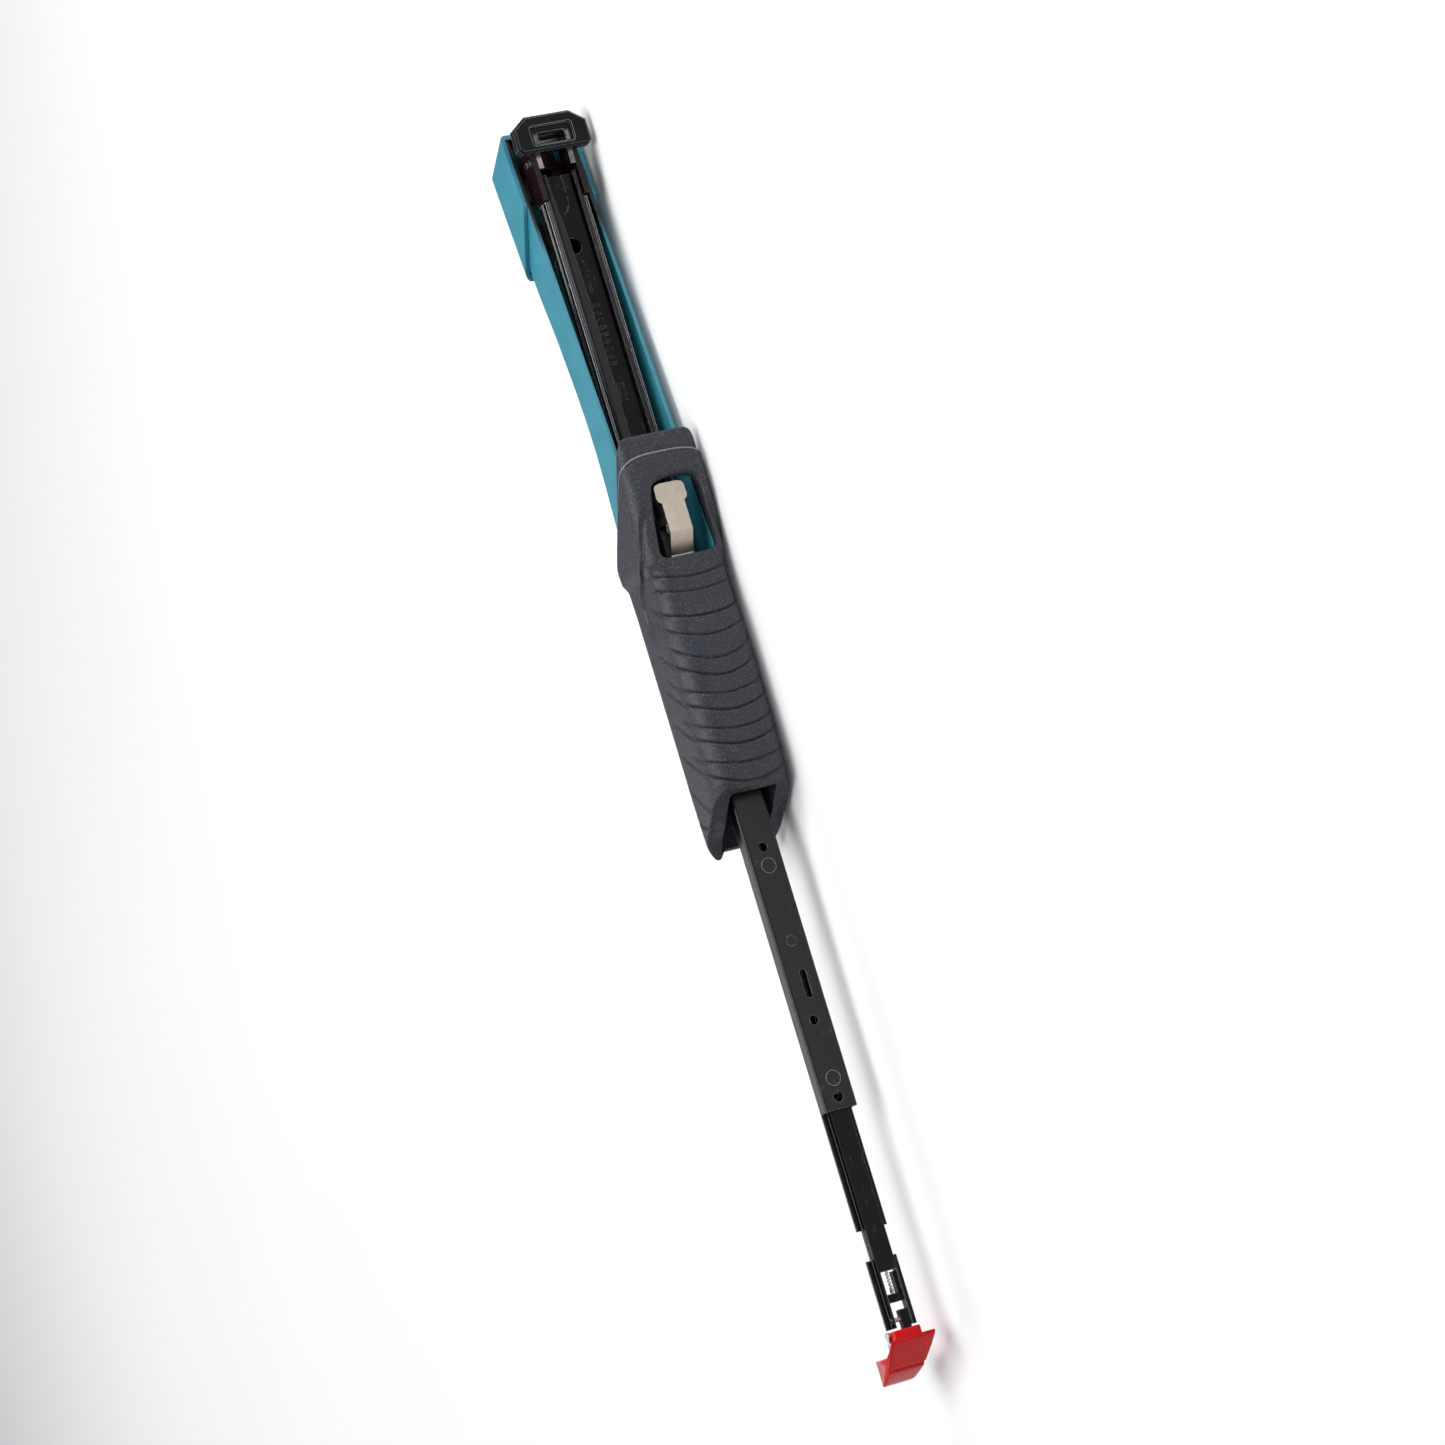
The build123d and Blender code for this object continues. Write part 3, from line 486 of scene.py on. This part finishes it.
def build_grip():
    base, q0, _ = contour(20.0, -16.0, 8.0, 10.0, NT)
    yn = base[:, 0]
    xf = np.interp(yn, [-16.0, -14.0, -12.0, 19.2, 21.8, GRIP_YT], [-127.2, -128.4, -132.2, -174.6, -180.6, -184.6])
    xr = np.interp(yn, [-16.0, -12.5, -9.0, 22.0, 24.5, GRIP_YT], [-288.6, -290.2, -292.6, -311.4, -310.9, -308.0])
    us = np.concatenate([np.linspace(0, 0.022, 12)[:-1], np.linspace(0.022, 0.085, 130)[:-1], np.linspace(0.085, 1, NU - 140 + 0)])
    us = us[:NU] if len(us) >= NU else np.concatenate([us, [1.0]])
    verts = np.zeros((NU, NT, 3))
    for i, u in enumerate(us):
        xs = xf + (xr - xf) * u
        # one section per vertex: sample sections on a coarse set and interpolate over x
        verts[i, :, 0] = xs
    xs_all = np.linspace(-126.0, -313.0, 220)
    bank = np.zeros((len(xs_all), NT, 2)); per = np.zeros(len(xs_all))
    for k, x in enumerate(xs_all):
        c, q, L = contour(gtab(x, 1), gtab(x, 2), gtab(x, 3), gtab(x, 4), NT)
        bank[k] = c; per[k] = L
    for j in range(NT):
        kx = np.interp(-verts[:, j, 0], -xs_all, np.arange(len(xs_all)))
        k0 = np.clip(kx.astype(int), 0, len(xs_all) - 2); f = kx - k0
        verts[:, j, 1] = bank[k0, j, 0] * (1 - f) + bank[k0 + 1, j, 0] * f
        verts[:, j, 2] = bank[k0, j, 1] * (1 - f) + bank[k0 + 1, j, 1] * f
    L = np.interp(-verts[:, :, 0], -xs_all, per)
    frac = np.arange(NT) / NT
    a = np.minimum(frac, 1 - frac)[None, :] * L          # girth position, mirrored left and right
    x = verts[:, :, 0]
    # outward normals from the grid
    du = np.gradient(verts, axis=0)
    dv = np.roll(verts, -1, axis=1) - np.roll(verts, 1, axis=1)
    nrm = np.cross(dv, du)
    nrm /= np.linalg.norm(nrm, axis=2, keepdims=True) + 1e-12
    cen = np.zeros((1, 1, 3)); cen[0, 0, 1] = 5.0
    outward = verts.copy(); outward[:, :, 0] = 0; outward[:, :, 1] -= 5.0
    flip = np.sign((nrm * outward).sum(2, keepdims=True)); nrm = nrm * flip
    # ribbed face lies lower than the smooth side panel, along the crease
    ca = np.array([p[0] for p in CREASE]); cx = np.array([p[1] for p in CREASE])
    a_cr = np.interp(-x, -cx, ca)
    panel = smooth01((a - a_cr + 0.6) / 2.4)
    zone = smooth01((-159.0 - x) / 6.0) * smooth01((x + 216.0) / 14.0)
    low = (1 - panel) * zone * 0.95
    # valley along the crease
    low += np.exp(-((a - a_cr + 0.7) / 1.1) ** 2) * zone * 0.45
    dep = groove_depth(a, x) + low
    # front collar, one step lower than the body, with a beaded edge along the step; the faces along the step are
    # given pale rubber below, a painted highlight
    x_st = np.interp(a, [0, 7, 12, 15, 20, 25, 34, 44, 54, 70], [-136.2, -136.3, -136.9, -137.7, -139.6, -144.2, -154.5, -167.0, -180.0, -188.0])
    ts = x - x_st
    dep = dep + 1.15 * smooth01((ts + 0.1) / 0.5) - 0.02 * np.exp(-((ts + 0.55) / 0.42) ** 2) + 0.22 * np.exp(-((ts + 1.7) / 0.5) ** 2)
    # rolled lips at both ends
    s_front = (us[:, None] * (xf - xr)[None, :]); s_rear = ((1 - us)[:, None] * (xf - xr)[None, :])
    side_ness = np.abs(nrm[-40, :, 2])[None, :] ** 2
    for s, r in ((s_front, np.full((1, NT), 1.5)), (s_rear, 1.7 + 1.3 * side_ness)):
        t = np.clip(s / r, 0, 1)
        dep = dep + r * (1 - np.sqrt(np.clip(1 - (1 - t) ** 2, 0, 1))) * 0.88
    verts = verts - nrm * dep[:, :, None]
    vs = verts.reshape(-1, 3)
    vlist = [P(*p) for p in vs]
    faces = []
    collar_highlight_faces = []
    for i in range(NU - 1):
        r0, r1 = i * NT, (i + 1) * NT
        for j in range(NT):
            # faces just in front of the step take the pale rubber: a painted highlight line
            if -0.62 < ts[i, j] < -0.02 and a[i, j] < 44.0:
                collar_highlight_faces.append(len(faces))
            k = (j + 1) % NT
            faces.append((r0 + j, r0 + k, r1 + k, r1 + j))
    # end walls: rings shrink to a centre line
    def close(row, sign):
        idx0 = [row * NT + j for j in range(NT)]
        ring = verts[row]
        c = ring.mean(0)
        prev = idx0
        for sc in (0.8, 0.45, 0.15):
            cur = []
            for j in range(NT):
                p = c + (ring[j] - c) * sc
                vlist.append(P(*p)); cur.append(len(vlist) - 1)
            for j in range(NT):
                k = (j + 1) % NT
                faces.append((prev[j], cur[j], cur[k], prev[k]) if sign > 0 else (prev[j], prev[k], cur[k], cur[j]))
            prev = cur
        vlist.append(P(*c)); cc = len(vlist) - 1
        for j in range(NT):
            k = (j + 1) % NT
            faces.append((prev[j], cc, prev[k]) if sign > 0 else (prev[j], prev[k], cc))
    close(0, 1)
    close(NU - 1, -1)
    return vlist, faces, collar_highlight_faces


def closed(name, verts, faces):
    me = bpy.data.meshes.new(name)
    me.from_pydata([tuple(v) for v in verts], [], faces)
    bm = bmesh.new(); bm.from_mesh(me)
    bmesh.ops.recalc_face_normals(bm, faces=bm.faces)
    bm.to_mesh(me); bm.free()
    ob = bpy.data.objects.new(name, me)
    bpy.context.scene.collection.objects.link(ob)
    return ob


def loft(name, rings):
    """Closed solid through rings of points, all with the same count."""
    n = len(rings[0]); verts = [P(*p) for r in rings for p in r]; faces = []
    for i in range(len(rings) - 1):
        for j in range(n):
            k = (j + 1) % n
            faces.append((i * n + j, i * n + k, (i + 1) * n + k, (i + 1) * n + j))
    for base in (0, (len(rings) - 1) * n):
        c = np.mean(np.array(rings[0 if base == 0 else -1]), axis=0)
        verts.append(P(*c)); cc = len(verts) - 1
        for j in range(n):
            k = (j + 1) % n
            faces.append((base + j, base + k, cc))
    return closed(name, verts, faces)


def cut(target, cutter):
    mod = target.modifiers.new("cut", "BOOLEAN")
    mod.operation = "DIFFERENCE"
    mod.solver = "MANIFOLD"
    mod.object = cutter
    bpy.context.view_layer.update()
    dg = bpy.context.evaluated_depsgraph_get()
    me = bpy.data.meshes.new_from_object(target.evaluated_get(dg))
    target.modifiers.clear()
    target.data = me
    bpy.data.objects.remove(cutter)


def rounded(points, r, k=5):
    """Polygon with its corners rounded by quadratic arcs."""
    pts = [np.array(p, float) for p in points]; out = []
    n = len(pts)
    for i in range(n):
        a, b, c = pts[i - 1], pts[i], pts[(i + 1) % n]
        la, lc = np.linalg.norm(a - b), np.linalg.norm(c - b)
        ra, rc = min(r, la * 0.45), min(r, lc * 0.45)
        p0, p2 = b + (a - b) / la * ra, b + (c - b) / lc * rc
        for j in range(k + 1):
            t = j / k
            out.append((1 - t) ** 2 * p0 + 2 * t * (1 - t) * b + t * t * p2)
    return out


def grow(points, d):
    """Closed polygon moved outward by d (points in order either way round)."""
    pts = np.array(points); n = len(pts)
    area2 = np.sum(pts[:, 0] * np.roll(pts[:, 1], -1) - np.roll(pts[:, 0], -1) * pts[:, 1])
    tang = np.roll(pts, -1, 0) - np.roll(pts, 1, 0)
    tang /= np.linalg.norm(tang, axis=1, keepdims=True) + 1e-12
    nor = np.stack([tang[:, 1], -tang[:, 0]], 1) * np.sign(area2)
    return pts + nor * d


gv, gf, grip_collar_highlight_faces = build_grip()
grip = closed("grip_shell", gv, gf)
grip.data.materials.append(MAT["grip_rubber"])
grip.data.materials.append(grip_collar_highlight)
# faces along the collar step get the pale rubber: a painted highlight, not a colour of the rubber
for fi in grip_collar_highlight_faces:
    grip.data.polygons[fi].material_index = 1

# cavity for the housing: a rounded tunnel, its floor stepping up towards the rear
cav = []
for x, yb, ys in ((-120.0, -13.1, -6.5), (-150.0, -13.1, -8.0), (-184.0, -12.8, -10.4), (-190.0, -12.4, -7.35), (-196.0, -11.6, -7.35), (-246.0, -11.5, -7.35), (-253.0, -8.7, -7.35), (-287.6, -8.6, -7.35)):
    yt = 20.24
    zs = 13.6 if x > -186 else 12.0
    sec = rounded([(yb, -zs), (yb, zs), (ys, zs + 0.2), (ys - 0.02, 16.05), (yt, 16.05), (yt, -16.05), (ys - 0.02, -16.05), (ys, -zs - 0.2)], 0.9, 4)
    cav.append([(x, p[0], p[1]) for p in sec])
cut(grip, loft("cavity", cav))

# slot at the rear between the two cheeks, with rolled lips
mouth_sec = rounded([(-8.4, -11.2), (-8.4, 11.2), (23.4, 11.2), (23.4, -11.2)], 3.2, 6)
rings = []
for d, off in ((-30.0, 0.0), (1.9, 0.0), (1.2, 0.1), (0.7, 0.3), (0.3, 0.6), (0.06, 0.95), (-0.1, 1.4), (-6.0, 1.4)):
    sec = grow([tuple(p) for p in mouth_sec], off)
    ring = []
    for y, z in sec:
        y = min(y, 23.4 + 0.25 * off)
        xr_ = np.interp(y, [-16.0, -12.5, -9.0, 22.0, 24.5, 28.0], [-288.6, -290.2, -292.6, -311.4, -310.9, -308.0])
        if d == -30.0:
            ring.append((-286.0, y, z))
        elif d == -6.0:
            ring.append((-322.0, y, z))
        else:
            ring.append((xr_ + d, y, z))
    rings.append(ring)
cut(grip, loft("mouth", rings))

# thumb window with rolled edge
win = rounded([(-182.6, 13.0), (-161.5, 10.7), (-149.6, 8.9), (-147.4, -1.0), (-148.6, -11.4), (-153.0, -13.8), (-165.0, -14.4), (-182.6, -15.0)], 4.2, 7)
rings = []
for depth, off in ((-3.0, 2.4), (-0.02, 2.15), (0.12, 1.55), (0.42, 1.05), (0.85, 0.6), (1.4, 0.25), (2.1, 0.0), (9.0, 0.0)):
    sec = grow([tuple(p) for p in win], off)
    ring = [(x, float(gtab(x, 2)) - 0.9 * float(smooth01((-159.0 - x) / 6.0)) * 0 + depth, z) for x, z in sec]
    rings.append(ring)
cut(grip, loft("window", rings))

# pockets inside for the pivot pin and stop pin heads
for px, py in ((-195.0, 14.3), (-262.0, 11.72)):
    ringa = [[(px + 4.7 * math.cos(t), py + 4.7 * math.sin(t), z) for t in np.linspace(0, 2 * math.pi, 33)[:-1]] for z in (-17.9, 17.9)]
    cut(grip, loft("pocket", ringa))

gm = grip.data
for poly in gm.polygons:
    poly.use_smooth = True
gm.set_sharp_from_angle(angle=math.radians(50))
grip.name = "grip_shell"
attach(grip, "housing")
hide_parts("grip")

# --------------------------------------------------------------------- cap
def build_cap():
    prof = [(-531.5, -1.15), (-533.2, -1.15), (-538.0, 6.0), (-542.5, 12.5), (-543.35, 13.75), (-543.1, 14.5), (-543.25, 15.0), (-544.7, 15.6), (-546.6, 20.4), (-548.6, 26.0), (-549.1, 29.4), (-547.6, 31.7), (-541.0, 31.8), (-537.5, 31.3), (-537.85, 20.0), (-537.7, 12.2), (-535.75, 5.7), (-532.7, 0.6)]
    pts = np.array(rounded(prof, 0.55, 3))
    wy = [-1.3, 6.0, 14.7, 28.0, 29.8, 31.4, 33.0]
    wz = [10.6, 10.25, 8.95, 7.4, 6.9, 5.9, 4.6]
    rings = []
    for s, off in ((-1.0, -0.62), (-0.994, -0.42), (-0.982, -0.22), (-0.962, -0.08), (-0.935, 0.0), (-0.6, 0.0), (0.0, 0.0), (0.6, 0.0), (0.935, 0.0), (0.962, -0.08), (0.982, -0.22), (0.994, -0.42), (1.0, -0.62)):
        q = grow([tuple(p) for p in pts], off)
        w = np.interp(q[:, 1], wy, wz)
        rings.append([(x, y, wv * s) for (x, y), wv in zip(q, w)])
    body = loft("end_cap_body", rings)
    neck = rounded([(-528.0, 2.9), (-528.0, 11.1), (-539.0, 11.1), (-535.4, 2.9)], 0.7, 4)
    neck_rings = []
    for z, off in ((-6.35, -0.5), (-6.2, -0.15), (-5.9, 0.0), (5.9, 0.0), (6.2, -0.15), (6.35, -0.5)):
        neck_rings.append([(x, y, z) for x, y in grow([tuple(p) for p in neck], off)])
    tongue = rounded([(-519.7, 5.1), (-519.7, 8.3), (-530.0, 8.3), (-530.0, 5.1)], 0.5, 3)
    tongue_rings = []
    for z, off in ((-3.62, -0.4), (-3.4, 0.0), (0.3, 0.0), (0.52, -0.4)):
        tongue_rings.append([(x, y, z) for x, y in grow([tuple(p) for p in tongue], off)])
    for ob, finish in ((body, "red_plastic"), (loft("end_cap_neck", neck_rings), "red_plastic"), (loft("end_cap_tongue", tongue_rings), "black_coat")):
        for poly in ob.data.polygons:
            poly.use_smooth = True
        ob.data.set_sharp_from_angle(angle=math.radians(38))
        ob.data.materials.clear()
        ob.data.materials.append(MAT[finish])
        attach(ob, "inner_rail")
        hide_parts("end_cap")


build_cap()

# ------------------------------------------------------------------- stage
def stage_plane():
    me = bpy.data.meshes.new("floor")
    s, n = 4.0, 2
    me.from_pydata([(-s, -s, -0.0002), (s, -s, -0.0002), (s, s, -0.0002), (-s, s, -0.0002)], [], [(0, 1, 2, 3)])
    ob = bpy.data.objects.new("floor", me)
    bpy.context.scene.collection.objects.link(ob)
    t = Tree("floor_paper")
    c = t.mix(t.ramp(t.noise(1.5, 3.0, 0.5), 0.3, 0.7), (0.86, 0.86, 0.86), (0.90, 0.90, 0.90))
    t.set(Base_Color=c, Roughness=0.85, Specular_IOR_Level=0.2)
    t.bump(t.noise(900.0, 2.0, 0.5), 0.1, 0.0001)
    me.materials.append(t.mat)


stage_plane()


def area(name, loc, target, size, power, color=(1, 1, 1)):
    d = bpy.data.lights.new(name, "AREA")
    d.shape = "RECTANGLE"
    d.size, d.size_y = size
    d.energy = power
    d.color = color
    o = bpy.data.objects.new(name, d)
    o.location = loc
    o.rotation_mode = "QUATERNION"
    o.rotation_quaternion = (Vector(target) - Vector(loc)).to_track_quat("-Z", "Y")
    bpy.context.scene.collection.objects.link(o)
    return o


area("key_softbox", (0.25, -0.30, 1.5), (0.0, 0.0, 0.0), (1.3, 1.0), 21.5)
area("rear_softbox", (-0.3, 1.3, 1.0), (0.0, 0.0, 0.02), (1.2, 0.6), 7.0)
area("front_fill", (-0.4, -1.7, 0.8), (0.0, 0.0, 0.0), (0.3, 0.9), 2.5)
area("head_rim", (1.5, -0.45, 0.45), (0.0, 0.0, 0.02), (0.35, 0.5), 14.0)

world = bpy.data.worlds.new("studio")
bpy.context.scene.world = world
world.use_nodes = True
wn = world.node_tree
wn.nodes.clear()
wo = wn.nodes.new("ShaderNodeOutputWorld")
wb = wn.nodes.new("ShaderNodeBackground")
wb.inputs[0].default_value = (0.93, 0.96, 1.0, 1.0)
wb.inputs[1].default_value = 0.30
wn.links.new(wb.outputs[0], wo.inputs[0])
bpy.context.scene.view_settings.view_transform = "Standard"
bpy.context.scene.view_settings.look = "None"
